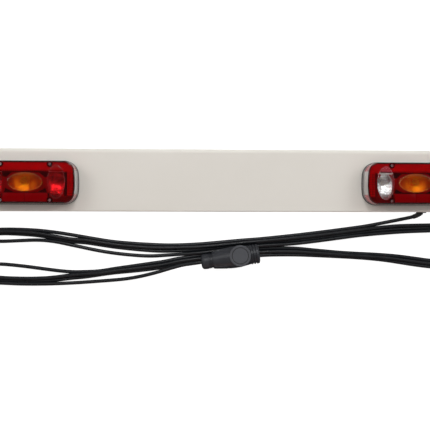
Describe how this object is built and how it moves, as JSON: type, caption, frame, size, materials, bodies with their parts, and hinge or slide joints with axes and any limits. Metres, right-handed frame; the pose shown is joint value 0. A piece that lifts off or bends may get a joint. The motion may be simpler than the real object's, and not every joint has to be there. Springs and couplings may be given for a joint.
{
  "type": "trailer lighting board",
  "caption": "Folded white sheet-metal trailer lighting board with red and amber rear lamp clusters, a wound black lead and a round trailer plug.",
  "frame": {"origin": "centre of the board at its back, on the surface that it lies on", "axes": "+X along the board to the right lamp, +Y to the top edge of the board, +Z out of its face"},
  "size_m": [1.22, 0.306, 0.075],
  "materials": {
    "amber_lens": "clear amber moulded lens plastic",
    "black_plastic": "black moulded plastic, satin",
    "brass": "plain brass",
    "bulb_glass": "clear bulb glass",
    "cable_pvc": "black PVC sheath, satin",
    "clear_lens": "clear moulded lens plastic",
    "plated_steel": "zinc plated steel",
    "plug_plastic": "black moulded plug plastic, soft gloss",
    "red_lens": "clear red moulded lens plastic",
    "reflector": "metallised reflector tray",
    "retro_red": "red prismatic reflector",
    "rubber": "black rubber",
    "white_nylon": "natural nylon",
    "white_paint": "cream-white gloss powder coat on folded sheet",
    "white_plastic": "cream-white moulded end cap"
  },
  "bodies": {
    "root": {"board_panel": "white_paint", "cable_boot": "rubber", "cable_clips": "white_nylon", "cable_hank": "cable_pvc", "cable_inner_run": "cable_pvc", "cable_lead": "cable_pvc", "cable_link": "cable_pvc", "cable_plug_tail": "cable_pvc", "end_cap_left": "white_plastic", "end_cap_right": "white_plastic", "left_bulb_caps": "brass", "left_bulb_glass": "bulb_glass", "left_bulb_holders": "black_plastic", "left_contact_strip": "brass", "left_fog_window": "red_lens", "left_indicator_window": "amber_lens", "left_lamp_base": "black_plastic", "left_lamp_bolts": "plated_steel", "left_lamp_gasket": "rubber", "left_lamp_grommets": "rubber", "left_lamp_lens": "red_lens", "left_lamp_nuts": "plated_steel", "left_lamp_reflector": "reflector", "left_lens_screws": "plated_steel", "left_plate_bulb": "bulb_glass", "left_plate_bulb_clips": "brass", "left_plate_window": "clear_lens", "left_retro_reflector": "retro_red", "left_stop_tail_window": "red_lens", "left_terminal_block": "white_nylon", "plug_body": "plug_plastic", "plug_cable_seal": "rubber", "plug_contact_insert": "plug_plastic", "plug_front_collar": "plug_plastic", "plug_gland_nut": "plug_plastic", "plug_pins": "brass", "plug_side_cap": "plug_plastic", "right_bulb_caps": "brass", "right_bulb_glass": "bulb_glass", "right_bulb_holders": "black_plastic", "right_contact_strip": "brass", "right_indicator_window": "amber_lens", "right_lamp_base": "black_plastic", "right_lamp_bolts": "plated_steel", "right_lamp_gasket": "rubber", "right_lamp_grommets": "rubber", "right_lamp_lens": "red_lens", "right_lamp_nuts": "plated_steel", "right_lamp_reflector": "reflector", "right_lens_screws": "plated_steel", "right_plate_bulb": "bulb_glass", "right_plate_bulb_clips": "brass", "right_plate_window": "clear_lens", "right_retro_reflector": "retro_red", "right_reversing_window": "clear_lens", "right_stop_tail_window": "red_lens", "right_terminal_block": "white_nylon"}
  },
  "joints": []
}
